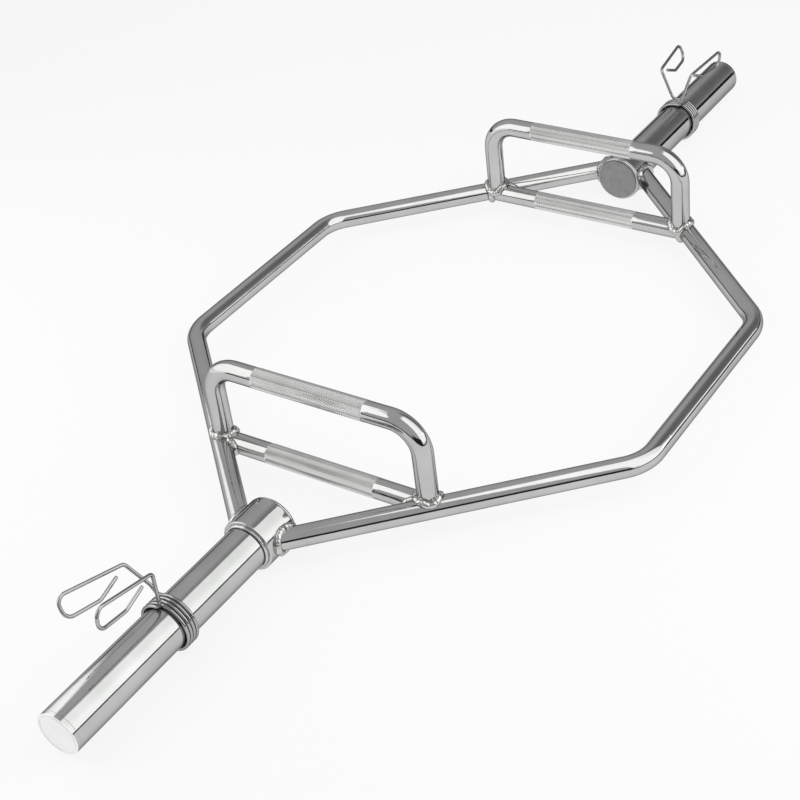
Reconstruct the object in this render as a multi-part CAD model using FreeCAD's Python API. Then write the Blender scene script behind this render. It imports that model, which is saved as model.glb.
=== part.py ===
import FreeCAD, Part
import math
import os

from FreeCAD import Vector

# Hex trap bar, in millimetres. +X runs along the sleeves, +Z is up, and the origin is on the floor
# under the middle of the bar. "left" is the -X end, "rear" is the +Y side.

# Frame: two bent rails that run from hub to hub
bar_diameter = 24.0
side_length = 297.0            # between the two bends of a rail, along X
frame_width = 624.6            # between the two rails, centre to centre
corner_to_handle = 160.5       # from a rail's bend to the handles, along X
handle_to_hub = 91.0           # from the handles to the hub's closing disc, along X
corner_bend_radius = 55.0      # at the bar's centre

# Handles: a low straight one in the frame's plane and a raised one over it
handle_diameter = 24.0
handle_height = 104.0          # raised grip's centre over the frame's plane
handle_bend_radius = 35.0      # at the bar's centre
leg_inset = 5.8                # raised handle's legs, in from the rail's centre line
cope_setback = 3.0             # low handle's square end, short of the rail's centre line
knurl_share = 0.71             # of the raised handle's straight run
knurl_raise = 0.25

# Hubs and sleeves
hub_diameter = 62.0
hub_length = 45.0
hub_bevel = 1.5
landing_share = 0.37           # of the hub's length, from its inner end to where the rails land
disc_thickness = 4.0
disc_rim = 3.0                 # step from the hub's edge to the disc's edge
disc_rim_share = 0.85          # part of that step that the weld round the disc fills
sleeve_diameter = 50.0
sleeve_length = 295.0          # from the hub's shoulder to the end, cap included
sleeve_wall = 8.0
spigot_step = 3.0              # sleeve's end inside the hub is this much smaller in radius
shoulder_bead = 3.5            # fillet of weld between the sleeve and the hub's shoulder
shoulder_bead_share = 0.35     # of that fillet, left at the middle of its hollow face
cap_thickness = 5.0
cap_plug_length = 14.0
cap_bevel = 1.0
cap_clearance = 0.05

# Weld beads
bead_size = 4.0
leg_bead_rise = 6.0            # height of the bead on a raised handle's leg, over the frame bars

# Spring collars: one coil of wire with two arms, each bent into a finger loop
wire_diameter = 4.0
coil_turns = 4
coil_pitch = 4.5
coil_clearance = 0.85
left_stand_off = 117.0         # from the hub's shoulder to each coil
right_stand_off = 134.0
arm_angle = 20.0               # degrees, from the collar's top to each arm
root_bend_radius = 7.0
arm_rise = 50.5                # arm's bend, over the sleeve
arm_bend_radius = 6.0
outer_lean = 1.0               # arm's bend beyond its root, along the sleeve
inner_lean = 9.0
loop_length = 82.0             # from the arm's bend to the loop's end
loop_bend_share = 0.42         # of the loop's end, for its two round corners
return_bend_radius = 10.0
left_clock = 17.0              # degrees that each collar is turned on its sleeve
right_clock = -4.0
left_pitch = 10.5              # degrees that each collar's loops are bent up from the sleeve's line
right_pitch = 0.0

# Corners of a finger loop from its arm's bend: along, outward and up, as shares of the loop's length
loop_corner_shares = (
    (1.0, 0.11, 0.048),
    (1.0, 0.048, -0.24),
    (0.5, -0.02, -0.232),
    (0.168, -0.025, -0.08),
)

gap_samples = 2400             # points on a coil where its gap to itself is measured

# Places that follow from the sizes
bar_radius = bar_diameter / 2
handle_radius = handle_diameter / 2
hub_radius = hub_diameter / 2
sleeve_radius = sleeve_diameter / 2
wire_radius = wire_diameter / 2
axis_z = hub_radius
corner_x = side_length / 2
corner_y = frame_width / 2
handle_x = corner_x + corner_to_handle
disc_x = handle_x + handle_to_hub
hub_x = disc_x + disc_thickness
shoulder_x = hub_x + hub_length
wall_x = shoulder_x + shoulder_bead
sleeve_end_x = shoulder_x + sleeve_length
landing_x = hub_x + hub_length * landing_share
coil_radius = sleeve_radius + coil_clearance + wire_radius
arm_reach = sleeve_radius + arm_rise

SIDES = {"front": -1, "rear": 1}
ENDS = ("left", "right")
CLOCKS = {"left": left_clock, "right": right_clock}
PITCHES = {"left": left_pitch, "right": right_pitch}
STAND_OFFS = {"left": left_stand_off, "right": right_stand_off}


# Small geometry helpers

def in_plane(x, y):
    return Vector(x, y, axis_z)


def unit(vector):
    return vector * (1 / vector.Length)


def cylinder(radius, start, end):
    run = end - start
    return Part.makeCylinder(radius, run.Length, start, run)


def arc_from_tangent(start, corner, end):
    """The arc from start to end whose tangents meet at corner, at equal lengths."""
    middle = (start + end) * 0.5
    half_turn = (corner - start).getAngle(end - start)
    crown = middle + (corner - middle) * (math.cos(half_turn) / (1 + math.cos(half_turn)))
    return Part.Arc(start, crown, end).toShape()


def rounded_wire(points, radii):
    """A path of straight runs with a tangent arc of the given radius at each inner point."""
    edges = []
    last = points[0]
    for before, corner, after, radius in zip(points, points[1:], points[2:], radii):
        back = unit(before - corner)
        ahead = unit(after - corner)
        reach = radius / math.tan(back.getAngle(ahead) / 2)
        start = corner + back * reach
        end = corner + ahead * reach
        edges.append(Part.LineSegment(last, start).toShape())
        edges.append(arc_from_tangent(start, corner, end))
        last = end
    edges.append(Part.LineSegment(last, points[-1]).toShape())
    return Part.Wire(edges)


def biarc(start, start_way, end, end_way):
    """Two arcs that leave start and reach end along the given directions."""
    chord = end - start
    ways = start_way + end_way
    spread = 2 * (1 - start_way.dot(end_way))
    along = chord.dot(ways)
    reach = (math.sqrt(along * along + spread * chord.dot(chord)) - along) / spread
    first = start + start_way * reach
    second = end - end_way * reach
    joint = (first + second) * 0.5
    return [arc_from_tangent(start, first, joint), arc_from_tangent(joint, second, end)]


def swept(wire, radius):
    """A round bar along a path."""
    start = wire.Edges[0].firstVertex(True).Point
    way = wire.Edges[0].tangentAt(wire.Edges[0].FirstParameter)
    section = Part.Wire(Part.makeCircle(radius, start, way))
    return wire.makePipeShell([section], True, False)


def revolved(profile):
    """Turn a closed outline of (x, radius) points about the sleeves' axis."""
    points = [Vector(x, 0, axis_z + radius) for x, radius in profile]
    face = Part.Face(Part.makePolygon(points + points[:1]))
    return face.revolve(in_plane(0, 0), Vector(1, 0, 0), 360)


def mirrored(shape):
    return shape.mirror(Vector(0, 0, 0), Vector(1, 0, 0))


def at_end(shape, end):
    """Pieces of the right end, mirrored for the left end."""
    return shape if end == "right" else mirrored(shape)


def group(solids):
    return Part.makeCompound([solid for shape in solids for solid in shape.Solids])


# Frame and handles

def slant_way():
    """Direction of a rear rail's slanted run at the right end, from its bend to the hub."""
    return unit(in_plane(landing_x, hub_radius) - in_plane(corner_x, corner_y))


def rail_y(x):
    """Rail's centre line on its slanted run."""
    way = slant_way()
    return corner_y + (x - corner_x) * way.y / way.x


def rail_bar(side):
    inside = in_plane(landing_x, hub_radius) + slant_way() * bar_diameter
    half = [inside, in_plane(corner_x, corner_y)]
    points = half + [Vector(-p.x, p.y, p.z) for p in reversed(half)]
    points = [Vector(p.x, p.y * side, p.z) for p in points]
    return swept(rounded_wire(points, [corner_bend_radius] * 2), bar_radius)


def hub_core(radius):
    return cylinder(radius, in_plane(-sleeve_end_x, 0), in_plane(sleeve_end_x, 0))


def rail(side):
    return rail_bar(side).cut(hub_core(hub_radius))


def leg_y():
    return rail_y(handle_x) - leg_inset / abs(slant_way().x)


def knurl_half_length():
    return (leg_y() - handle_bend_radius) * knurl_share


def grip_band(z):
    half = knurl_half_length()
    start = Vector(handle_x, -half, z)
    return cylinder(handle_radius + knurl_raise, start, Vector(handle_x, half, z))


def low_bar(radius):
    half = rail_y(handle_x) - cope_setback
    return cylinder(radius, in_plane(handle_x, -half), in_plane(handle_x, half))


def high_bar():
    top = axis_z + handle_height
    half = [Vector(handle_x, leg_y(), axis_z), Vector(handle_x, leg_y(), top)]
    points = half + [Vector(p.x, -p.y, p.z) for p in reversed(half)]
    return swept(rounded_wire(points, [handle_bend_radius] * 2), handle_radius)


def low_handle(rail_bars):
    return low_bar(handle_radius).fuse(grip_band(axis_z)).cut(rail_bars)


def high_handle(rail_bars):
    bar = high_bar().fuse(grip_band(axis_z + handle_height))
    return bar.cut(rail_bars + [low_bar(handle_radius)])


# Weld beads: the metal within a bead's size of both pieces that it joins

def slant_run(side, radius):
    inside = in_plane(landing_x, hub_radius) + slant_way() * bar_diameter
    return cylinder(radius, in_plane(corner_x, corner_y * side), in_plane(inside.x, inside.y * side))


def leg_run(side, radius):
    foot = in_plane(handle_x, leg_y() * side)
    return cylinder(radius, foot, foot + Vector(0, 0, handle_radius + leg_bead_rise))


def leg_bead(side):
    around = leg_run(side, handle_radius + bead_size)
    near = slant_run(side, bar_radius + leg_bead_rise)
    near = near.fuse(low_bar(handle_radius + leg_bead_rise))
    pieces = [slant_run(side, bar_radius), low_bar(handle_radius), leg_run(side, handle_radius)]
    return around.common(near).cut(pieces)


def low_bead(side):
    end = in_plane(handle_x, (rail_y(handle_x) - cope_setback) * side)
    start = in_plane(handle_x, knurl_half_length() * side)
    around = cylinder(handle_radius + bead_size, start, end)
    near = slant_run(side, bar_radius + bead_size)
    pieces = [slant_run(side, bar_radius), low_bar(handle_radius), leg_run(side, handle_radius)]
    return around.common(near).cut(pieces + [leg_bead(side)])


def hub_bead(side):
    near = cylinder(hub_radius + bead_size, in_plane(hub_x, 0), in_plane(shoulder_x, 0))
    around = slant_run(side, bar_radius + bead_size)
    return around.common(near).cut([slant_run(side, bar_radius), hub_core(hub_radius)])


# Hubs and sleeves, drawn for the right end

def hub():
    bore = sleeve_radius - spigot_step
    return revolved((
        (hub_x, bore),
        (hub_x, hub_radius),
        (shoulder_x - hub_bevel, hub_radius),
        (shoulder_x, hub_radius - hub_bevel),
        (shoulder_x, bore),
    ))


def hub_disc():
    return cylinder(hub_radius - disc_rim, in_plane(disc_x, 0), in_plane(hub_x, 0))


def hub_disc_weld():
    inner = hub_radius - disc_rim
    size = disc_rim * disc_rim_share
    return revolved(((hub_x, inner), (hub_x, inner + size), (hub_x - size, inner)))


def sleeve():
    bore = sleeve_radius - sleeve_wall
    spigot = sleeve_radius - spigot_step
    mouth = sleeve_end_x - cap_thickness
    return revolved((
        (hub_x, bore),
        (hub_x, spigot),
        (wall_x, spigot),
        (wall_x, sleeve_radius),
        (mouth, sleeve_radius),
        (mouth, bore),
    ))


def sleeve_weld():
    spigot = sleeve_radius - spigot_step
    hollow = shoulder_bead * shoulder_bead_share
    return revolved((
        (shoulder_x, spigot),
        (shoulder_x, sleeve_radius + shoulder_bead),
        (shoulder_x + hollow, sleeve_radius + hollow),
        (wall_x, sleeve_radius),
        (wall_x, spigot),
    ))


def sleeve_end_cap():
    plug = sleeve_radius - sleeve_wall - cap_clearance
    mouth = sleeve_end_x - cap_thickness
    return revolved((
        (mouth - cap_plug_length, 0),
        (mouth - cap_plug_length, plug),
        (mouth, plug),
        (mouth, sleeve_radius),
        (sleeve_end_x - cap_bevel, sleeve_radius),
        (sleeve_end_x, sleeve_radius - cap_bevel),
        (sleeve_end_x, 0),
    ))


# Spring collar, drawn round +X with its top at +Z and its outer end towards +X

def arm_way(side):
    angle = math.radians(arm_angle)
    return Vector(0, math.sin(angle) * side, math.cos(angle))


def leaving_angle():
    """Angle from the collar's top where the wire leaves the coil for its root bend."""
    bend = math.asin(root_bend_radius / (coil_radius + root_bend_radius))
    return math.radians(arm_angle) - bend


def coil_sweep():
    return 2 * math.pi * coil_turns + 2 * leaving_angle()


def coil_half_width():
    return coil_pitch * coil_sweep() / (4 * math.pi)


def coil_place(turned):
    """Point and direction on the helix, from the outer end, by the angle turned so far."""
    angle = leaving_angle() - turned
    rise = coil_pitch / (2 * math.pi)
    point = Vector(coil_half_width() - rise * turned, 0, 0)
    point += Vector(0, math.sin(angle), math.cos(angle)) * coil_radius
    way = Vector(-rise, -coil_radius * math.cos(angle), coil_radius * math.sin(angle))
    return point, unit(way)


def root_end(side):
    """Where a root bend ends and the wire points straight out from the axis."""
    height = (coil_radius + root_bend_radius) * math.cos(math.radians(arm_angle) - leaving_angle())
    return Vector(coil_half_width() * side, 0, 0) + arm_way(side) * height


def arm_root(side):
    """End face between the coil and an arm: one wire diameter straight out from the root bend."""
    return root_end(side) + arm_way(side) * wire_diameter


def coil_wire():
    sweep = coil_sweep()
    steps = math.ceil(sweep / (math.pi / 2))
    places = [coil_place(sweep * step / steps) for step in range(steps + 1)]
    places.insert(0, (root_end(1), arm_way(1) * -1))
    places.append((root_end(-1), arm_way(-1)))
    edges = [Part.LineSegment(arm_root(1), root_end(1)).toShape()]
    for (start, start_way), (end, end_way) in zip(places, places[1:]):
        edges += biarc(start, start_way, end, end_way)
    edges.append(Part.LineSegment(root_end(-1), arm_root(-1)).toShape())
    return Part.Wire(edges)


def least_gap(wire):
    """Smallest gap between stretches of the wire that are half a turn or more apart."""
    points = wire.discretize(gap_samples)
    apart = math.ceil(math.pi * coil_radius / wire.Length * gap_samples)
    nearest = min(
        points[i].distanceToPoint(points[j])
        for i in range(gap_samples)
        for j in range(i + apart, gap_samples)
    )
    return nearest - wire_diameter


def grip_wire(side, end):
    lean = outer_lean if side > 0 else inner_lean
    root = arm_root(side)
    bend = Vector(root.x + lean, 0, 0) + arm_way(side) * arm_reach
    points = [root, root + arm_way(side) * wire_diameter, bend]
    pitched = FreeCAD.Rotation(Vector(0, -1, 0), PITCHES[end])
    for along, outward, up in loop_corner_shares:
        points.append(bend + pitched.multVec(Vector(along, outward * side, up)) * loop_length)
    loop_bend = points[3].distanceToPoint(points[4]) * loop_bend_share
    radii = [return_bend_radius, arm_bend_radius, loop_bend, loop_bend, return_bend_radius]
    return rounded_wire(points, radii)


def on_sleeve(shape, end):
    """Turn a collar's piece to its clocking and carry it to its sleeve."""
    placed = shape.copy()
    placed.rotate(Vector(0, 0, 0), Vector(1, 0, 0), CLOCKS[end])
    middle = shoulder_x + STAND_OFFS[end] + coil_half_width() + wire_radius
    placed.translate(in_plane(middle, 0))
    if end == "left":
        placed.rotate(Vector(0, 0, 0), Vector(0, 0, 1), 180)
    return placed


def build():
    parts = {}
    rail_bars = [rail_bar(side) for side in SIDES.values()]
    for name, side in SIDES.items():
        parts[name + "_rail"] = rail(side)
    right_end = {
        "hub": hub(),
        "hub_disc": hub_disc(),
        "hub_disc_weld": hub_disc_weld(),
        "hub_welds": group([hub_bead(side) for side in SIDES.values()]),
        "sleeve": sleeve(),
        "sleeve_weld": sleeve_weld(),
        "sleeve_end_cap": sleeve_end_cap(),
        "low_handle": low_handle(rail_bars),
        "low_handle_welds": group([low_bead(side) for side in SIDES.values()]),
        "high_handle": high_handle(rail_bars),
        "high_handle_welds": group([leg_bead(side) for side in SIDES.values()]),
    }
    wire = coil_wire()
    coil = swept(wire, wire_radius)
    section = math.pi * wire_radius ** 2
    print("coil: gap to itself", round(least_gap(wire), 3), "mm")
    print("coil: volume over section times length", round(coil.Volume / (section * wire.Length), 4))
    for end in ENDS:
        for name, shape in right_end.items():
            parts[end + "_" + name] = at_end(shape, end)
        outer_grip = swept(grip_wire(1, end), wire_radius)
        inner_grip = swept(grip_wire(-1, end), wire_radius)
        parts[end + "_collar_coil"] = on_sleeve(coil, end)
        parts[end + "_collar_outer_grip"] = on_sleeve(outer_grip, end)
        parts[end + "_collar_inner_grip"] = on_sleeve(inner_grip, end)
    return parts


os.makedirs("parts", exist_ok=True)
for name, shape in build().items():
    shape.exportStep("parts/" + name + ".step")
    print(name, len(shape.Solids), "solids", round(shape.Volume), "mm3", shape.isValid())
print("overall length", round(2 * sleeve_end_x, 1), "grip spacing", round(2 * handle_x, 1))
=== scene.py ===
import math

import bpy
from mathutils import Matrix, Vector
from mathutils.noise import noise


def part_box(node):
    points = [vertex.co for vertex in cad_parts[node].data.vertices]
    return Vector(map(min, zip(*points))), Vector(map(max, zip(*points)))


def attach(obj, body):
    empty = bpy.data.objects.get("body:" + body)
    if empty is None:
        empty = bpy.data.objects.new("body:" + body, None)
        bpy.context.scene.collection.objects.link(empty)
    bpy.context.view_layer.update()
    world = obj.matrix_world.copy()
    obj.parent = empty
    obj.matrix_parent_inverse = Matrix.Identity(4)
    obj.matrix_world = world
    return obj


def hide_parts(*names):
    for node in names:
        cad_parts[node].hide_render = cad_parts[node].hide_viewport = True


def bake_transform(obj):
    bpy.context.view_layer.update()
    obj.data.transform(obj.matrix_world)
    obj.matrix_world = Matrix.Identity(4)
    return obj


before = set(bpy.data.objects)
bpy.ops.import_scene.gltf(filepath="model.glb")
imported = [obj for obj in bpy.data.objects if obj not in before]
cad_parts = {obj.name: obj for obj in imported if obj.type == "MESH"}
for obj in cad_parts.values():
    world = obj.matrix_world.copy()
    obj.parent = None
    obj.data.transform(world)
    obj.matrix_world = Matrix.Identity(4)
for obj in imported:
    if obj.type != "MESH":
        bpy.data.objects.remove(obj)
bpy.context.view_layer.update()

# Hex trap bar, in metres. +X runs along the sleeves, +Z is up, and the origin is on the floor under
# the middle of the bar. "left" is the -X end, "rear" is the +Y side.

MM = 0.001
ENDS = {"left": -1, "right": 1}
SIDES = {"front": -1, "rear": 1}
GRIPS = {"outer": 1, "inner": -1}

# Places read from the frame
hub_low, hub_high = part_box("right_hub")
cap_low, cap_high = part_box("right_sleeve_end_cap")
low_handle_low, low_handle_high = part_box("right_low_handle")
high_handle_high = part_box("right_high_handle")[1]
axis_z = (hub_low.z + hub_high.z) / 2
disc_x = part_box("right_hub_disc")[0].x
hub_x = hub_low.x
shoulder_x = hub_high.x
wall_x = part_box("right_sleeve_weld")[1].x    # where the sleeve's full width starts
mouth_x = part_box("right_sleeve")[1].x        # where the end cap's rim meets the sleeve
cap_plug_x = cap_low.x
sleeve_end_x = cap_high.x
handle_x = (low_handle_low.x + low_handle_high.x) / 2

# Frame bars
bar_radius = 12.0 * MM
corner_x = 148.5 * MM
corner_y = 312.3 * MM
corner_bend_radius = 55.0 * MM
landing_share = 0.37           # of the hub's length, from its inner end to where the rails land

# Handles
handle_radius = 12.0 * MM
handle_bend_radius = 35.0 * MM
cope_setback = 3.0 * MM        # low handle's end, short of the rail's centre line
knurl_raise = 0.25 * MM
knurl_depth = 0.5 * MM
knurl_around = 38              # diamonds in one ring of the knurl
knurl_length = 2.9 * MM        # one diamond, along the bar
knurl_share = 0.71             # of the raised handle's straight run
grip_z = high_handle_high.z - handle_radius - knurl_raise
leg_y = high_handle_high.y - handle_radius
knurl_half = (leg_y - handle_bend_radius) * knurl_share

# Hubs and sleeves
hub_radius = (hub_high.z - hub_low.z) / 2
hub_bore = 22.0 * MM
hub_bevel = 1.5 * MM
disc_radius = 28.0 * MM
disc_bevel = 0.6 * MM
sleeve_radius = 25.0 * MM
sleeve_bore = 17.0 * MM
seam_bevel = 0.25 * MM         # at the edges of a sleeve and of its end cap
cap_plug_radius = 16.95 * MM
cap_face_depth = 1.0 * MM      # how far in from the end the cap has a finish of its own
cap_groove_radius = 22.4 * MM
cap_groove_width = 0.8 * MM
cap_groove_depth = 0.6 * MM
core_share = 0.2               # of a disc's or a plug's radius, closed by one flat face in the middle
corner_cut_share = 0.25        # of an outline's run, the most that a softened corner takes
flat_hold_share = 1.6          # of a softened corner's reach, where a ring holds the flat beside it

# Weld beads
bead_radius = 4.6 * MM
hub_bead_radius = 3.9 * MM
bead_lift = 0.9 * MM           # a bead's middle, out from the corner that it fills
disc_bead_radius = 1.9 * MM
disc_bead_out_share = 0.3      # of its radius, its middle out from the disc's edge
disc_bead_uneven_share = 0.4   # of how uneven the beads between bars are
shoulder_bead_radius = 2.0 * MM
shoulder_bead_out_share = 0.4
shoulder_bead_uneven_share = 0.25
dime_length = 5.2 * MM         # one puddle of a weld, along its bead
dime_drift_share = 0.9         # of a puddle, by which its place along the bead wanders
dime_rise_share = 0.1          # of a bead's radius, between the crest and the edge of a puddle
least_dimes = 6
lump_length = 8.0 * MM         # slower swelling of a bead along its run
lump_rise_share = 0.3          # of a bead's radius
thin_share = 0.3               # of a bead's radius, where two bars of one size run into each other
thin_sink = 2.6 * MM           # how much lower the bead lies there
thin_power = 0.7               # how the bead thins on the way there

# Spring collars
wire_radius = 2.0 * MM
wire_tip_share = 0.85          # of the wire's radius, rounded at its free end
coil_turns = 4
coil_pitch = 4.5 * MM
coil_clearance = 0.85 * MM
coil_radius = sleeve_radius + coil_clearance + wire_radius
arm_angle = math.radians(20)
arm_reach = sleeve_radius + 50.5 * MM
arm_leans = {"outer": 1.0 * MM, "inner": 9.0 * MM}
root_bend_radius = 7.0 * MM
arm_bend_radius = 6.0 * MM
return_bend_radius = 10.0 * MM
loop_bend_share = 0.42         # of the loop's far side
loop_length = 82.0 * MM
loop_corner_shares = (         # of the loop's length: along, outward and up from the arm's bend
    (1.0, 0.11, 0.048),
    (1.0, 0.048, -0.24),
    (0.5, -0.02, -0.232),
    (0.168, -0.025, -0.08),
)
loop_pitches = {"left": math.radians(10.5), "right": 0.0}
collar_clocks = {"left": math.radians(17.0), "right": math.radians(-4.0)}

# Fineness of the meshes
run_step = 8.0 * MM            # longest ring spacing along a straight bar
least_run_steps = 2
bend_step = math.radians(3)    # turn from ring to ring in a bend
least_bend_steps = 3
bar_sides = 64
lathe_sides = 128
corner_steps = 4               # in a softened corner of an outline
bead_sides = 20
bead_steps = 240               # along a bead at the end of a bar
ring_bead_steps = 480          # along a bead round a disc or a sleeve
wire_sides = 24
tip_steps = 8
coil_steps_per_turn = 64

# Finishes: the darkest and the palest colour of each, and tints for metal seen at a glancing angle, where
# the dark ones paint shade along the edges
chrome_colours = ((0.49, 0.5, 0.49), (0.56, 0.565, 0.558))
# the spring wire's plating is darker than the bars': painted shade, with cloudy handling marks across it
wire_marks_and_shade_colours = ((0.36, 0.37, 0.36), (0.44, 0.445, 0.438))
# the knurl's plating is paler than the bars': painted highlight for the light that its facets catch; its
# cloudy spread is wear
knurl_wear_and_highlight_colours = ((0.67, 0.677, 0.665), (0.72, 0.727, 0.715))
weld_colours = ((0.5, 0.5, 0.49), (0.64, 0.64, 0.63))
plate_colours = ((0.235, 0.24, 0.235), (0.295, 0.3, 0.295))
cap_colours = ((0.87, 0.87, 0.865), (0.91, 0.91, 0.905))
# dark tint at a glancing angle: painted shade along the edges of every metal piece but the wire and the end
# cap
edge_shade_tint = (0.32, 0.32, 0.32, 1)
# darker still on the spring wire: painted shade along its edges
wire_edge_shade_tint = (0.05, 0.05, 0.05, 1)
cap_edge_tint = (1, 1, 1, 1)
cloud_range = (0.3, 0.7)       # where most values of a cloudy texture lie
peel_height = 0.006 * MM       # fine unevenness of the plating

# Camera at the photograph's viewing angle
camera_place = Vector((-1.4044, -0.9570, 1.1461))
camera_azimuth = math.radians(-52.555)
camera_elevation = math.radians(35.469)
camera_roll = math.radians(-7.7)
camera_lens = 74.72            # in millimetres, as the sensor's width is
camera_sensor_width = 36.0

# Studio: a pale floor, dark boards, three soft boxes and a grey surround with a darker side
floor_half_size = 40.0
floor_colour = (0.94, 0.94, 0.94, 1)
floor_white_share = 0.84       # of the floor's look that is plain white, the rest takes light and shade
board_colour = (0.03, 0.03, 0.03, 1)
board_roughness = 0.9
skirt_radius = 4.5
skirt_height = 0.55
skirt_sides = 64
flags = {
    "studio_front_flag": {"azimuth": math.radians(-130), "distance": 2.7, "width": 2.6, "height": 0.85},
    "studio_right_flag": {"azimuth": math.radians(-47), "distance": 2.4, "width": 2.0, "height": 0.36},
}
surround_grey = 0.54
surround_dark = 0.2            # at the surround's darkest place
dark_azimuth = math.radians(-22)
dark_elevation = math.radians(37)
dark_reach = 0.8               # cosine of the angle from that place at which the surround is plain again
lamp_radiance = 1.15
side_fade_share = 0.06         # of a soft box's width, over which it fades at each side
low_fade_share = 0.04          # of its height, over which it fades at its low edge
soft_boxes = {
    "front_box": {"low_edge": (0.14, -1.36, 0.12), "high_edge": (0.14, -0.18, 2.2), "width": 1.52,
                  "high_fade_share": 0.24},
    "rear_box": {"low_edge": (-0.87, 1.32, 0.02), "high_edge": (-0.87, 0.62, 1.55), "width": 1.68,
                 "high_fade_share": 0.1},
    "low_box": {"low_edge": (1.6, -1.75, 0.4), "high_edge": (1.6, -1.73, 0.8), "width": 0.9,
                "high_fade_share": 0.3},
}


# Mesh helpers

def in_plane(x, y):
    """A place at the height of the sleeves' axis, where the frame's bars lie too."""
    return Vector((x, y, axis_z))


def around(steps):
    """Angles round a full turn."""
    return [math.tau * step / steps for step in range(steps)]


def rounded_path(points, radii):
    """Points along straight runs with a tangent arc of the given radius at each inner point."""
    path = [points[0]]
    for before, corner, after, radius in zip(points, points[1:], points[2:], radii):
        back = (before - corner).normalized()
        ahead = (after - corner).normalized()
        turn = math.pi - back.angle(ahead)
        reach = radius * math.tan(turn / 2)
        start = corner + back * reach
        add_run(path, start)
        centre = corner + (back + ahead).normalized() * (radius / math.cos(turn / 2))
        arm = start - centre
        spin = arm.cross(-back).normalized()
        steps = max(least_bend_steps, math.ceil(turn / bend_step))
        for step in range(1, steps + 1):
            path.append(centre + Matrix.Rotation(turn * step / steps, 3, spin) @ arm)
    add_run(path, points[-1])
    return path


def add_run(path, end):
    """Carry a path straight on to end, in even steps."""
    start = path[-1]
    steps = max(least_run_steps, math.ceil((end - start).length / run_step))
    for step in range(1, steps + 1):
        path.append(start.lerp(end, step / steps))


def frames_along(path, closed=False):
    """For each point of a path: the point, and two directions across it that don't twist."""
    count = len(path)
    ways = []
    for i in range(count):
        before = path[i - 1] if i > 0 or closed else path[i]
        after = path[(i + 1) % count] if i < count - 1 or closed else path[i]
        ways.append((after - before).normalized())
    across = ways[0].orthogonal().normalized()
    frames = []
    for point, way in zip(path, ways):
        across = (across - way * across.dot(way)).normalized()
        frames.append((point, across, way.cross(across)))
    return frames


def ring(frame_at, radius, sides):
    point, across, over = frame_at
    return [point + (across * math.cos(a) + over * math.sin(a)) * radius for a in around(sides)]


class Skin:
    """A mesh built ring by ring. Its UV map is in metres: u along the rings' path, v around them.
    New faces take the material whose number is in finish."""

    def __init__(self, sides):
        self.sides = sides
        self.points = []
        self.faces = []
        self.uvs = []
        self.flat_faces = set()
        self.finishes = []
        self.finish = 0

    def add_ring(self, points):
        self.points.extend(points)

    def bridge(self, first, second, u_first, u_second, girth, diamonds=False):
        """Join two rings, with quads or, in a knurl, with triangles split along the grooves."""
        for k in range(self.sides):
            after = (k + 1) % self.sides
            a = first * self.sides + k
            b = first * self.sides + after
            c = second * self.sides + after
            d = second * self.sides + k
            v = girth * k / self.sides
            w = girth * (k + 1) / self.sides
            corners = {a: (u_first, v), b: (u_first, w), c: (u_second, w), d: (u_second, v)}
            if not diamonds:
                self.add_face((a, b, c, d), corners)
            elif (first + k) % 2 == 0:
                self.add_face((a, b, c), corners, flat=True)
                self.add_face((a, c, d), corners, flat=True)
            else:
                self.add_face((a, b, d), corners, flat=True)
                self.add_face((b, c, d), corners, flat=True)

    def add_face(self, face, corners, flat=False):
        if flat:
            self.flat_faces.add(len(self.faces))
        self.faces.append(face)
        self.finishes.append(self.finish)
        self.uvs.extend(corners[index] for index in face)

    def close(self, which, backwards=False):
        """Cap a ring with one flat face, which looks backwards along the path or on along it."""
        face = [which * self.sides + k for k in range(self.sides)]
        if backwards:
            face.reverse()
        self.add_face(tuple(face), {index: (0.0, 0.0) for index in face}, flat=True)

    def piece(self, name, *materials):
        mesh = bpy.data.meshes.new(name)
        mesh.from_pydata(self.points, [], self.faces)
        layer = mesh.uv_layers.new(name="metres")
        layer.data.foreach_set("uv", [value for uv in self.uvs for value in uv])
        for polygon in mesh.polygons:
            polygon.use_smooth = polygon.index not in self.flat_faces
        for material in materials:
            mesh.materials.append(material)
        mesh.polygons.foreach_set("material_index", self.finishes)
        mesh.validate()
        obj = bpy.data.objects.new(name, mesh)
        bpy.context.scene.collection.objects.link(obj)
        return obj


def tube(name, path, radius, sides, material, tip_share=0.0):
    """A round bar along a path, with flat ends; the last one may be rounded over a share of the radius."""
    path, radii = rounded_tip(path, radius, radius * tip_share)
    skin = Skin(sides)
    along = 0.0
    for i, frame_at in enumerate(frames_along(path)):
        skin.add_ring(ring(frame_at, radii[i], sides))
        if i:
            further = along + (path[i] - path[i - 1]).length
            skin.bridge(i - 1, i, along, further, math.tau * radius)
            along = further
    skin.close(0, backwards=True)
    skin.close(len(path) - 1)
    return skin.piece(name, material)


def rounded_tip(path, radius, tip):
    """A path and its radii, with a rounded edge inside its last end."""
    if not tip:
        return path, [radius] * len(path)
    way = (path[-1] - path[-2]).normalized()
    start = path[-1] - way * tip
    turns = [math.pi / 2 * step / tip_steps for step in range(tip_steps + 1)]
    points = path[:-1] + [start + way * tip * math.sin(a) for a in turns]
    radii = [radius] * (len(path) - 1) + [radius - tip * (1 - math.cos(a)) for a in turns]
    return points, radii


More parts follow.
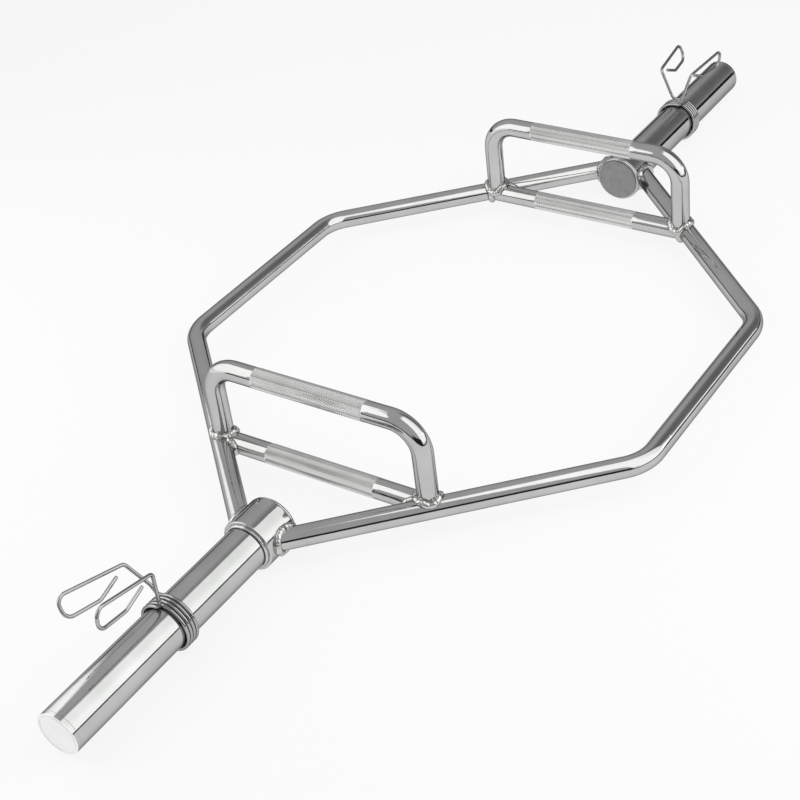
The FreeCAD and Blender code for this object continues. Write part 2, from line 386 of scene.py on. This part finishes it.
def bead(name, path, radius, material, thin_shares=None, uneven_share=1.0):
    """A weld bead round a closed path: overlapping puddles on an uneven run. It is thinned, where such
    shares are given, at each point of the path."""
    total = sum((b - a).length for a, b in zip(path, path[1:] + path[:1]))
    dimes = max(least_dimes, round(total / dime_length))
    skin = Skin(bead_sides)
    along = 0.0
    count = len(path)
    for i, frame_at in enumerate(frames_along(path, closed=True)):
        drift = dime_drift_share * noise(path[i] / lump_length)
        phase = (along / total * dimes + drift) % 1.0
        puddle = math.sqrt(max(0.0, 1 - (2 * phase - 1) ** 2))
        ripple = dime_rise_share * uneven_share * (puddle - 1)
        here = radius * (thin_shares[i] if thin_shares else 1.0)
        points = ring(frame_at, here, bead_sides)
        for k, point in enumerate(points):
            lump = lump_rise_share * uneven_share * noise(point / lump_length)
            points[k] = frame_at[0] + (point - frame_at[0]) * (1 + ripple + lump)
        skin.add_ring(points)
        step = (path[(i + 1) % count] - path[i]).length
        skin.bridge(i, (i + 1) % count, along, along + step, math.tau * radius)
        along += step
    return skin.piece(name, material)


def lathe(name, end, outline, *materials, loop=False, second_from=math.inf):
    """Turn an outline of (x, radius) points about the sleeves' axis, at the end that it is for.
    The second material starts at the place second_from along X."""
    skin = Skin(lathe_sides)
    along = 0.0
    for i, (x, radius) in enumerate(outline):
        across = [Vector((0, -math.sin(a), math.cos(a))) * radius for a in around(lathe_sides)]
        skin.add_ring([in_plane(x, 0) + reach for reach in across])
        if i:
            before = outline[i - 1]
            further = along + math.hypot(x - before[0], radius - before[1])
            skin.finish = int(min(x, before[0]) >= second_from)
            skin.bridge(i - 1, i, along, further, math.tau * radius)
            along = further
    if loop:
        skin.bridge(len(outline) - 1, 0, along, along, math.tau * outline[0][1])
    else:
        skin.close(0, backwards=True)
        skin.close(len(outline) - 1)
    return at_end(skin.piece(name, *materials), end)


def at_end(piece, end):
    """Pieces are drawn for the right end, and mirrored for the left one."""
    if ENDS[end] < 0:
        piece.data.transform(Matrix.Scale(-1, 4, Vector((1, 0, 0))))
        piece.data.flip_normals()
    return piece


def softened(outline, bevel, open_ends=False):
    """An outline with each corner cut by a small arc, between points that hold the flats flat. With
    open ends, it starts and stops halfway round its first and last corners."""
    count = len(outline)
    result = []
    for i, corner in enumerate(outline):
        here = Vector(corner)
        back = Vector(outline[i - 1]) - here
        ahead = Vector(outline[(i + 1) % count]) - here
        reach = min(bevel, back.length * corner_cut_share, ahead.length * corner_cut_share)
        start = here + back.normalized() * reach
        end = here + ahead.normalized() * reach
        result.append(tuple(here + back.normalized() * reach * flat_hold_share))
        for step in range(corner_steps + 1):
            share = step / corner_steps
            result.append(tuple(start.lerp(here, share).lerp(here.lerp(end, share), share)))
        result.append(tuple(here + ahead.normalized() * reach * flat_hold_share))
    if open_ends:
        half_corner = 2 + corner_steps // 2
        return result[half_corner:-half_corner]
    return result


def finish_piece(piece, body, slot, *nodes):
    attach(piece, body)
    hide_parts(*nodes)
    return piece


# Materials

class Shader:
    """A metal material whose colour, gloss and surface come from a few layered textures."""

    def __init__(self, name, tint=edge_shade_tint):
        self.material = bpy.data.materials.new(name)
        self.material.use_nodes = True
        self.tree = self.material.node_tree
        self.surface = self.tree.nodes["Principled BSDF"]
        self.surface.inputs["Metallic"].default_value = 1.0
        # a dark tint here paints shade along the edges, where the metal is seen at a glancing angle
        self.surface.inputs["Specular Tint"].default_value = tint
        self.metres = self.add("ShaderNodeUVMap", uv_map="metres").outputs["UV"]
        self.place = self.add("ShaderNodeTexCoord").outputs["Object"]

    def add(self, kind, **settings):
        node = self.tree.nodes.new(kind)
        for key, value in settings.items():
            setattr(node, key, value)
        return node

    def link(self, output, node, socket):
        self.tree.links.new(output, node.inputs[socket])

    def noise(self, vector, scale, detail, stretch=(1, 1, 1)):
        """Cloudy values from 0 to 1; scale is in features per metre."""
        mapping = self.add("ShaderNodeMapping")
        mapping.inputs["Scale"].default_value = stretch
        self.link(vector, mapping, "Vector")
        texture = self.add("ShaderNodeTexNoise")
        texture.inputs["Scale"].default_value = scale
        texture.inputs["Detail"].default_value = detail
        self.link(mapping.outputs["Vector"], texture, "Vector")
        return texture.outputs["Fac"]

    def remap(self, value, source, target):
        """Carry values smoothly from one range to another."""
        node = self.add("ShaderNodeMapRange", interpolation_type="SMOOTHSTEP")
        self.link(value, node, "Value")
        for socket, number in zip(("From Min", "From Max", "To Min", "To Max"), source + target):
            node.inputs[socket].default_value = number
        return node.outputs["Result"]

    def sum(self, first, second):
        node = self.add("ShaderNodeMath", operation="ADD")
        self.link(first, node, 0)
        self.link(second, node, 1)
        return node.outputs["Value"]

    def colours(self, value, colours):
        ramp = self.add("ShaderNodeValToRGB")
        self.link(value, ramp, "Fac")
        for element, position, colour in zip(ramp.color_ramp.elements, cloud_range, colours):
            element.position = position
            element.color = (*colour, 1)
        self.link(ramp.outputs["Color"], self.surface, "Base Color")

    def gloss(self, value):
        self.link(value, self.surface, "Roughness")

    def relief(self, layers):
        """Small bumps, each layer given as its values and its height in metres."""
        below = None
        for value, height in layers:
            bump = self.add("ShaderNodeBump")
            bump.inputs["Strength"].default_value = 1.0
            bump.inputs["Distance"].default_value = height
            self.link(value, bump, "Height")
            if below:
                self.link(below, bump, "Normal")
            below = bump.outputs["Normal"]
        self.link(below, self.surface, "Normal")


def chrome(name, colours, gloss, haze, wave, scratch, tint=edge_shade_tint):
    """Bright plating: cloudy handling marks, fine marks along the piece, and a slightly wavy surface."""
    shader = Shader(name, tint)
    clouds = shader.noise(shader.place, scale=26, detail=4)
    marks = shader.noise(shader.metres, scale=60, detail=3, stretch=(1, 45, 1))
    ripples = shader.noise(shader.place, scale=55, detail=2)
    grain = shader.noise(shader.place, scale=420, detail=2)
    shader.colours(clouds, colours)
    hazy = shader.remap(clouds, (0.45, 0.75), (gloss, gloss + haze))
    marked = shader.remap(marks, (0.6, 0.85), (0.0, haze / 2))
    shader.gloss(shader.sum(hazy, marked))
    shader.relief(((ripples, wave), (grain, peel_height), (marks, scratch)))
    return shader.material


def knurled_chrome():
    """Plating on the knurl, paler than the bars': painted highlight on its flanks, a little duller where
    hands have worn them.
    """
    shader = Shader("knurl_chrome")
    clouds = shader.noise(shader.place, scale=45, detail=4)
    grain = shader.noise(shader.place, scale=700, detail=2)
    shader.colours(clouds, knurl_wear_and_highlight_colours)
    shader.gloss(shader.remap(clouds, cloud_range, (0.06, 0.1)))
    shader.relief(((grain, 0.02 * MM),))
    return shader.material


def weld_chrome():
    """Plating over a weld: small pits and ripples."""
    shader = Shader("weld_bead")
    clouds = shader.noise(shader.place, scale=160, detail=4)
    pits = shader.noise(shader.place, scale=900, detail=2)
    shader.colours(clouds, weld_colours)
    shader.gloss(shader.remap(clouds, cloud_range, (0.06, 0.14)))
    shader.relief(((clouds, 0.3 * MM), (pits, 0.03 * MM)))
    return shader.material


def plate_steel():
    """A satin flat disc with faint mottling."""
    shader = Shader("hub_plate_steel")
    clouds = shader.noise(shader.place, scale=90, detail=5)
    grain = shader.noise(shader.place, scale=800, detail=2)
    shader.colours(clouds, plate_colours)
    shader.gloss(shader.remap(clouds, cloud_range, (0.2, 0.26)))
    shader.relief(((clouds, 0.02 * MM), (grain, 0.01 * MM)))
    return shader.material


def cap_steel():
    """A turned end face: fine rings about the sleeves' axis, pale and satin."""
    shader = Shader("end_cap_steel", cap_edge_tint)
    marks = shader.noise(shader.metres, scale=900, detail=1, stretch=(1, 0.002, 1))
    clouds = shader.noise(shader.place, scale=60, detail=3)
    shader.colours(clouds, cap_colours)
    shader.gloss(shader.remap(marks, cloud_range, (0.22, 0.3)))
    shader.relief(((marks, 0.001 * MM),))
    return shader.material


bar_chrome = chrome("bar_chrome", chrome_colours, gloss=0.03, haze=0.06,
                    wave=0.12 * MM, scratch=0.002 * MM)
hub_chrome = chrome("hub_chrome", chrome_colours, gloss=0.04, haze=0.07,
                    wave=0.1 * MM, scratch=0.002 * MM)
sleeve_chrome = chrome("sleeve_chrome", chrome_colours, gloss=0.03, haze=0.06,
                       wave=0.08 * MM, scratch=0.003 * MM)
wire_chrome = chrome("spring_wire", wire_marks_and_shade_colours, gloss=0.03, haze=0.05,
                     wave=0.05 * MM, scratch=0.002 * MM, tint=wire_edge_shade_tint)
knurl_chrome = knurled_chrome()
weld_bead = weld_chrome()
hub_plate_steel = plate_steel()
end_cap_steel = cap_steel()


# Frame bars

landing = in_plane(hub_x + (shoulder_x - hub_x) * landing_share, hub_radius)
slant = (landing - in_plane(corner_x, corner_y)).normalized()
inside_hub = landing + slant * 2 * bar_radius


def rail_y(x):
    """Rail's centre line on its slanted run, at the rear."""
    return corner_y + (x - corner_x) * slant.y / slant.x


def rail(name, side):
    half = [inside_hub, in_plane(corner_x, corner_y)]
    points = half + [Vector((-p.x, p.y, p.z)) for p in reversed(half)]
    points = [Vector((p.x, p.y * side, p.z)) for p in points]
    path = rounded_path(points, [corner_bend_radius] * 2)
    piece = tube(name + "_rail_bar", path, bar_radius, bar_sides, bar_chrome)
    return finish_piece(piece, "frame", "bar_chrome", name + "_rail")


# Handles, with a knurl of small pyramids over the middle

def knurled_bar(name, run_in, knurl, run_out):
    """A bar along three stretches of path; the middle one is cut into a diamond knurl."""
    sides = 2 * knurl_around
    skin = Skin(sides)
    path = run_in + knurl + run_out
    girth = math.tau * handle_radius
    along = 0.0
    first_row = len(run_in)
    last_row = first_row + len(knurl) - 1
    for i, frame_at in enumerate(frames_along(path)):
        points = ring(frame_at, handle_radius, sides)
        if first_row < i < last_row:
            for k, point in enumerate(points):
                height = knurl_raise if (i + k) % 2 else knurl_raise - knurl_depth
                points[k] = point + (point - frame_at[0]).normalized() * height
        skin.add_ring(points)
        if i:
            further = along + (path[i] - path[i - 1]).length
            in_knurl = first_row < i <= last_row
            skin.finish = int(in_knurl)
            skin.bridge(i - 1, i, along, further, girth, in_knurl)
            along = further
    skin.finish = 0
    skin.close(0, backwards=True)
    skin.close(len(path) - 1)
    return skin.piece(name, bar_chrome, knurl_chrome)


def knurl_rows(x, z):
    """Rows of the knurl, half a diamond apart, along Y."""
    rows = 2 * round(2 * knurl_half / knurl_length)
    return [Vector((x, -knurl_half + 2 * knurl_half * row / rows, z)) for row in range(rows + 1)]


def low_handle(end):
    x = handle_x * ENDS[end]
    reach = rail_y(handle_x) - cope_setback
    rows = knurl_rows(x, axis_z)
    run_in = [in_plane(x, -reach)]
    add_run(run_in, rows[0])
    run_out = [rows[-1]]
    add_run(run_out, in_plane(x, reach))
    piece = knurled_bar(end + "_low_grip_bar", run_in[:-1], rows, run_out[1:])
    return finish_piece(piece, "frame", "bar_chrome", end + "_low_handle")


def high_handle(end):
    x = handle_x * ENDS[end]
    rows = knurl_rows(x, grip_z)
    foot = Vector((x, -leg_y, axis_z))
    bend = Vector((x, -leg_y, grip_z))
    run_in = rounded_path([foot, bend, rows[0]], [handle_bend_radius])
    run_out = [Vector((p.x, -p.y, p.z)) for p in reversed(run_in)]
    piece = knurled_bar(end + "_high_grip_bar", run_in[:-1], rows, run_out[1:])
    return finish_piece(piece, "frame", "bar_chrome", end + "_high_handle")


# Weld beads, each along the corner between the two pieces that it joins

def frame_height(x, y):
    """Height of the frame's bars over their own plane, at a place near a handle's leg at the right end."""
    from_rail = (rail_y(x) - abs(y)) * abs(slant.x)
    from_low_bar = x - handle_x
    heights = [math.sqrt(max(0.0, bar_radius ** 2 - d * d)) for d in (from_rail, from_low_bar)]
    if abs(y) > rail_y(x):
        return heights[0]
    return max(heights)


def leg_corner(side):
    reach = handle_radius + bead_lift
    path = []
    for angle in around(bead_steps):
        x = handle_x + reach * math.cos(angle)
        y = leg_y * side + reach * math.sin(angle)
        path.append(Vector((x, y, axis_z + max(frame_height(x, y), bead_radius) + bead_lift)))
    return path


def low_handle_share(angle):
    """The bead runs out at the top and bottom, where the handle and the rail are flush."""
    return thin_share + (1 - thin_share) * abs(math.cos(angle)) ** thin_power


def low_handle_corner(side):
    path = []
    for angle in around(bead_steps):
        reach = handle_radius + bead_lift - thin_sink * (1 - low_handle_share(angle))
        x = handle_x + reach * math.cos(angle)
        y = rail_y(x) - (bar_radius * abs(math.cos(angle)) + bead_lift) / abs(slant.x)
        path.append(Vector((x, y * side, axis_z + reach * math.sin(angle))))
    return path


def hub_corner(side):
    reach = bar_radius + bead_lift
    over_hub = hub_radius + bead_lift
    over = Vector((0, 0, 1))
    across = over.cross(slant)
    path = []
    for angle in around(bead_steps):
        start = landing + (across * math.cos(angle) + over * math.sin(angle)) * reach
        height = start.z - axis_z
        y = math.sqrt(over_hub ** 2 - height ** 2)
        x = start.x + (y - start.y) * slant.x / slant.y
        path.append(Vector((max(x, hub_x + hub_bead_radius), y * side, start.z)))
    return path


def ring_corner(x, radius):
    turns = around(ring_bead_steps)
    return [in_plane(x, 0) + Vector((0, math.sin(a), math.cos(a))) * radius for a in turns]


def bar_welds(end):
    low_handle_shares = [low_handle_share(angle) for angle in around(bead_steps)]
    kinds = {
        "high_handle_welds": (leg_corner, bead_radius, None),
        "low_handle_welds": (low_handle_corner, bead_radius, low_handle_shares),
        "hub_welds": (hub_corner, hub_bead_radius, None),
    }
    for node, (corner, radius, thin_shares) in kinds.items():
        for side_name, side in SIDES.items():
            name = end + "_" + side_name + "_" + node
            piece = at_end(bead(name, corner(side), radius, weld_bead, thin_shares), end)
            finish_piece(piece, "frame", "weld_bead", end + "_" + node)


def ring_welds(end):
    out = disc_bead_radius * disc_bead_out_share
    rim = ring_corner(hub_x - out, disc_radius + out)
    piece = bead(end + "_disc_rim_bead", rim, disc_bead_radius, weld_bead,
                 uneven_share=disc_bead_uneven_share)
    finish_piece(at_end(piece, end), "frame", "weld_bead", end + "_hub_disc_weld")
    out = shoulder_bead_radius * shoulder_bead_out_share
    neck = ring_corner(shoulder_x + out, sleeve_radius + out)
    piece = bead(end + "_sleeve_neck_bead", neck, shoulder_bead_radius, weld_bead,
                 uneven_share=shoulder_bead_uneven_share)
    finish_piece(at_end(piece, end), "frame", "weld_bead", end + "_sleeve_weld")


# Hubs and sleeves

def hub(end):
    outline = ((hub_x, hub_bore), (hub_x, hub_radius), (shoulder_x, hub_radius), (shoulder_x, hub_bore))
    piece = lathe(end + "_hub_body", end, softened(outline, hub_bevel), hub_chrome, loop=True)
    finish_piece(piece, "frame", "hub_chrome", end + "_hub")
    core = disc_radius * core_share
    outline = ((disc_x, core), (disc_x, disc_radius), (hub_x, disc_radius), (hub_x, core))
    piece = lathe(end + "_hub_plate", end, softened(outline, disc_bevel, open_ends=True), hub_plate_steel)
    finish_piece(piece, "frame", "hub_chrome", end + "_hub_disc")


def sleeve(end):
    outline = ((hub_x, sleeve_bore), (hub_x, hub_bore), (wall_x, hub_bore), (wall_x, sleeve_radius),
               (mouth_x, sleeve_radius), (mouth_x, sleeve_bore))
    piece = lathe(end + "_sleeve_tube", end, softened(outline, seam_bevel), sleeve_chrome, loop=True)
    finish_piece(piece, "frame", "sleeve_chrome", end + "_sleeve")
    core = cap_plug_radius * core_share
    groove_x = sleeve_end_x - cap_groove_depth
    groove_inner = cap_groove_radius - cap_groove_width
    outline = ((cap_plug_x, core), (cap_plug_x, cap_plug_radius), (mouth_x, cap_plug_radius),
               (mouth_x, sleeve_radius), (sleeve_end_x, sleeve_radius), (sleeve_end_x, cap_groove_radius),
               (groove_x, cap_groove_radius), (groove_x, groove_inner), (sleeve_end_x, groove_inner),
               (sleeve_end_x, core))
    piece = lathe(end + "_sleeve_plug", end, softened(outline, seam_bevel, open_ends=True),
                  sleeve_chrome, end_cap_steel, second_from=sleeve_end_x - cap_face_depth)
    finish_piece(piece, "frame", "end_cap_steel", end + "_sleeve_end_cap")


# Spring collars, drawn round +X with their top at +Z and their outer end towards +X

leaving_angle = arm_angle - math.asin(root_bend_radius / (coil_radius + root_bend_radius))
coil_sweep = math.tau * coil_turns + 2 * leaving_angle
coil_half_width = coil_pitch * coil_sweep / math.tau / 2
root_height = (coil_radius + root_bend_radius) * math.cos(arm_angle - leaving_angle)


def arm_way(side):
    return Vector((0, math.sin(arm_angle) * side, math.cos(arm_angle)))


def arm_root(side):
    """The face between the coil's end and the arm that goes on from it."""
    return Vector((coil_half_width * side, 0, 0)) + arm_way(side) * (root_height + 2 * wire_radius)


def half_coil(side):
    """From the middle of the coil to the face where an arm goes on."""
    path = []
    steps = math.ceil(coil_sweep / 2 / math.tau * coil_steps_per_turn)
    for step in range(steps + 1):
        share = step / steps
        angle = (leaving_angle + coil_sweep / 2 * (share - 1)) * side
        across = Vector((0, math.sin(angle), math.cos(angle)))
        path.append(Vector((coil_half_width * side * share, 0, 0)) + across * coil_radius)
    path += root_bend(side)
    add_run(path, arm_root(side))
    return path


def root_bend(side):
    """The wire's turn from round the sleeve to straight out from it."""
    leave = Vector((0, math.sin(leaving_angle) * side, math.cos(leaving_angle)))
    shift = Vector((coil_half_width * side, 0, 0))
    centre = shift + leave * (coil_radius + root_bend_radius)
    arm = leave * -root_bend_radius
    spin = Vector((side, 0, 0))
    turn = math.pi / 2 - (arm_angle - leaving_angle)
    steps = math.ceil(turn / bend_step / 2)
    return [centre + Matrix.Rotation(turn * step / steps, 3, spin) @ arm for step in range(1, steps + 1)]


def grip_path(name, end):
    """From the coil's end up the arm, round the finger loop and back to the wire's free end."""
    side = GRIPS[name]
    root = arm_root(side)
    straight = root + arm_way(side) * 2 * wire_radius
    bend = Vector((root.x + arm_leans[name], 0, 0)) + arm_way(side) * arm_reach
    pitched = Matrix.Rotation(loop_pitches[end], 3, Vector((0, -1, 0)))
    loop = [bend + pitched @ Vector((along, outward * side, up)) * loop_length
            for along, outward, up in loop_corner_shares]
    loop_bend_radius = (loop[1] - loop[0]).length * loop_bend_share
    radii = [return_bend_radius, arm_bend_radius, loop_bend_radius, loop_bend_radius, return_bend_radius]
    return rounded_path([root, straight, bend, *loop], radii)


def collar_middle(end):
    low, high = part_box(end + "_collar_coil")
    return in_plane((low.x + high.x) / 2, 0)


def collar_place(end):
    turned = Matrix.Rotation(0 if end == "right" else math.pi, 4, "Z")
    clocked = Matrix.Rotation(collar_clocks[end], 4, "X")
    return Matrix.Translation(collar_middle(end)) @ turned @ clocked


def collar(end):
    place = collar_place(end)
    for name, side in GRIPS.items():
        grip_body = end + "_" + name + "_grip"
        coil = tube(end + "_" + name + "_half_coil", half_coil(side), wire_radius, wire_sides, wire_chrome)
        coil.data.transform(place)
        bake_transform(coil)
        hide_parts(end + "_collar_coil")
        grip = tube(end + "_" + name + "_grip_wire", grip_path(name, end), wire_radius, wire_sides,
                    wire_chrome, wire_tip_share)
        grip.data.transform(place)
        finish_piece(grip, grip_body, "spring_wire", end + "_collar_" + name + "_grip")


for side_name, side in SIDES.items():
    rail(side_name, side)
for end in ENDS:
    hub(end)
    sleeve(end)
    low_handle(end)
    high_handle(end)
    bar_welds(end)
    ring_welds(end)
    collar(end)


# Camera

def add_camera():
    data = bpy.data.cameras.new("camera")
    data.lens = camera_lens
    data.sensor_width = camera_sensor_width
    data.sensor_fit = "HORIZONTAL"
    camera = bpy.data.objects.new("camera", data)
    level = math.cos(camera_elevation)
    forward = Vector((-math.sin(camera_azimuth) * level, math.cos(camera_azimuth) * level,
                      -math.sin(camera_elevation)))
    right = Vector((math.cos(camera_azimuth), math.sin(camera_azimuth), 0))
    up = right.cross(forward)
    side_way = right * math.cos(camera_roll) + up * math.sin(camera_roll)
    up_way = up * math.cos(camera_roll) - right * math.sin(camera_roll)
    turned = Matrix((side_way, up_way, -forward)).transposed().to_4x4()
    camera.matrix_world = Matrix.Translation(camera_place) @ turned
    bpy.context.scene.collection.objects.link(camera)
    bpy.context.scene.camera = camera


# Studio

def stage_piece(name, points, faces, material, seen):
    """A part of the studio, which may be hidden from the camera but not from the plating."""
    mesh = bpy.data.meshes.new(name)
    mesh.from_pydata(points, [], faces)
    mesh.materials.append(material)
    piece = bpy.data.objects.new(name, mesh)
    piece.visible_camera = seen
    bpy.context.scene.collection.objects.link(piece)


def floor_material():
    """Paper that looks mostly plain white, to the camera and in reflections, and keeps the bar's shadow."""
    material = bpy.data.materials.new("studio_floor")
    material.use_nodes = True
    nodes = material.node_tree.nodes
    links = material.node_tree.links
    nodes.remove(nodes["Principled BSDF"])
    paper = nodes.new("ShaderNodeBsdfDiffuse")
    paper.inputs["Color"].default_value = floor_colour
    white = nodes.new("ShaderNodeEmission")
    rays = nodes.new("ShaderNodeLightPath")
    looks = rays.outputs["Is Camera Ray"]
    for kind in ("Is Glossy Ray", "Is Transmission Ray"):
        either = nodes.new("ShaderNodeMath")
        either.operation = "ADD"
        links.new(looks, either.inputs[0])
        links.new(rays.outputs[kind], either.inputs[1])
        looks = either.outputs[0]
    share = nodes.new("ShaderNodeMath")
    share.operation = "MULTIPLY"
    share.inputs[1].default_value = floor_white_share
    links.new(looks, share.inputs[0])
    mix = nodes.new("ShaderNodeMixShader")
    links.new(share.outputs[0], mix.inputs[0])
    links.new(paper.outputs[0], mix.inputs[1])
    links.new(white.outputs[0], mix.inputs[2])
    links.new(mix.outputs[0], nodes["Material Output"].inputs["Surface"])
    return material


def board_material():
    material = bpy.data.materials.new("studio_board")
    material.use_nodes = True
    surface = material.node_tree.nodes["Principled BSDF"]
    surface.inputs["Base Color"].default_value = board_colour
    surface.inputs["Roughness"].default_value = board_roughness
    return material


def add_floor():
    half = floor_half_size
    corners = [(-half, -half, 0), (half, -half, 0), (half, half, 0), (-half, half, 0)]
    stage_piece("studio_floor", corners, [(0, 1, 2, 3)], floor_material(), seen=True)


def add_skirt(material):
    """A low dark wall round the floor, which draws the thin dark lines in the plating."""
    points = [(skirt_radius * math.cos(a), skirt_radius * math.sin(a), z)
              for z in (0.0, skirt_height) for a in around(skirt_sides)]
    faces = [(k, (k + 1) % skirt_sides, skirt_sides + (k + 1) % skirt_sides, skirt_sides + k)
             for k in range(skirt_sides)]
    stage_piece("studio_skirt", points, faces, material, seen=False)


def add_flag(name, material, azimuth, distance, width, height):
    """A dark board that stands on the floor and faces the bar; azimuth is from +X towards +Y."""
    way = Vector((math.cos(azimuth), math.sin(azimuth), 0))
    centre = way * distance
    across = way.cross(Vector((0, 0, 1))) * width / 2
    top = Vector((0, 0, height))
    points = [centre - across, centre + across, centre + across + top, centre - across + top]
    stage_piece(name, points, [(0, 1, 2, 3)], material, seen=False)


def add_soft_box(name, low_edge, high_edge, width, high_fade_share):
    """A soft box that leans over the bar between the middles of its low and high edges."""
    low = Vector(low_edge)
    high = Vector(high_edge)
    up = (high - low).normalized()
    across = Vector((up.y, -up.x, 0)).normalized()
    away = across.cross(up)
    data = bpy.data.lights.new(name, "AREA")
    data.shape = "RECTANGLE"
    data.size = width
    data.size_y = (high - low).length
    data.energy = lamp_radiance * math.pi * data.size * data.size_y
    data.use_nodes = True
    fade_edges(data.node_tree, (side_fade_share, side_fade_share), (low_fade_share, high_fade_share))
    lamp = bpy.data.objects.new(name, data)
    turned = Matrix((across, up, away)).transposed().to_4x4()
    lamp.matrix_world = Matrix.Translation((low + high) / 2) @ turned
    lamp.visible_camera = False
    bpy.context.scene.collection.objects.link(lamp)


def fade_edges(tree, across_shares, up_shares):
    """Fade a lamp's light towards its edges, over the given shares of its size."""
    geometry = tree.nodes.new("ShaderNodeNewGeometry")
    split = tree.nodes.new("ShaderNodeSeparateXYZ")
    tree.links.new(geometry.outputs["Parametric"], split.inputs[0])
    level = None
    for socket, (first, last) in (("X", across_shares), ("Y", up_shares)):
        for start, end in ((0.0, first), (1.0, 1.0 - last)):
            ramp = tree.nodes.new("ShaderNodeMapRange")
            ramp.interpolation_type = "SMOOTHSTEP"
            ramp.inputs["From Min"].default_value = start
            ramp.inputs["From Max"].default_value = end
            tree.links.new(split.outputs[socket], ramp.inputs["Value"])
            if level is None:
                level = ramp.outputs["Result"]
                continue
            product = tree.nodes.new("ShaderNodeMath")
            product.operation = "MULTIPLY"
            tree.links.new(level, product.inputs[0])
            tree.links.new(ramp.outputs["Result"], product.inputs[1])
            level = product.outputs[0]
    tree.links.new(level, tree.nodes["Emission"].inputs["Strength"])


def add_surround():
    world = bpy.data.worlds.new("studio")
    world.use_nodes = True
    nodes = world.node_tree.nodes
    links = world.node_tree.links
    way = nodes.new("ShaderNodeTexCoord")
    nearness = nodes.new("ShaderNodeVectorMath")
    nearness.operation = "DOT_PRODUCT"
    level = math.cos(dark_elevation)
    nearness.inputs[1].default_value = (math.cos(dark_azimuth) * level, math.sin(dark_azimuth) * level,
                                        math.sin(dark_elevation))
    grey = nodes.new("ShaderNodeMapRange")
    grey.interpolation_type = "SMOOTHSTEP"
    grey.inputs["From Min"].default_value = dark_reach
    grey.inputs["From Max"].default_value = 1.0
    grey.inputs["To Min"].default_value = surround_grey
    grey.inputs["To Max"].default_value = surround_dark
    links.new(way.outputs["Generated"], nearness.inputs[0])
    links.new(nearness.outputs["Value"], grey.inputs["Value"])
    links.new(grey.outputs["Result"], nodes["Background"].inputs["Color"])
    bpy.context.scene.world = world


add_camera()
add_floor()
board = board_material()
add_skirt(board)
for name, places in flags.items():
    add_flag(name, board, **places)
add_surround()
for name, places in soft_boxes.items():
    add_soft_box(name, **places)
bpy.context.scene.view_settings.view_transform = "Standard"
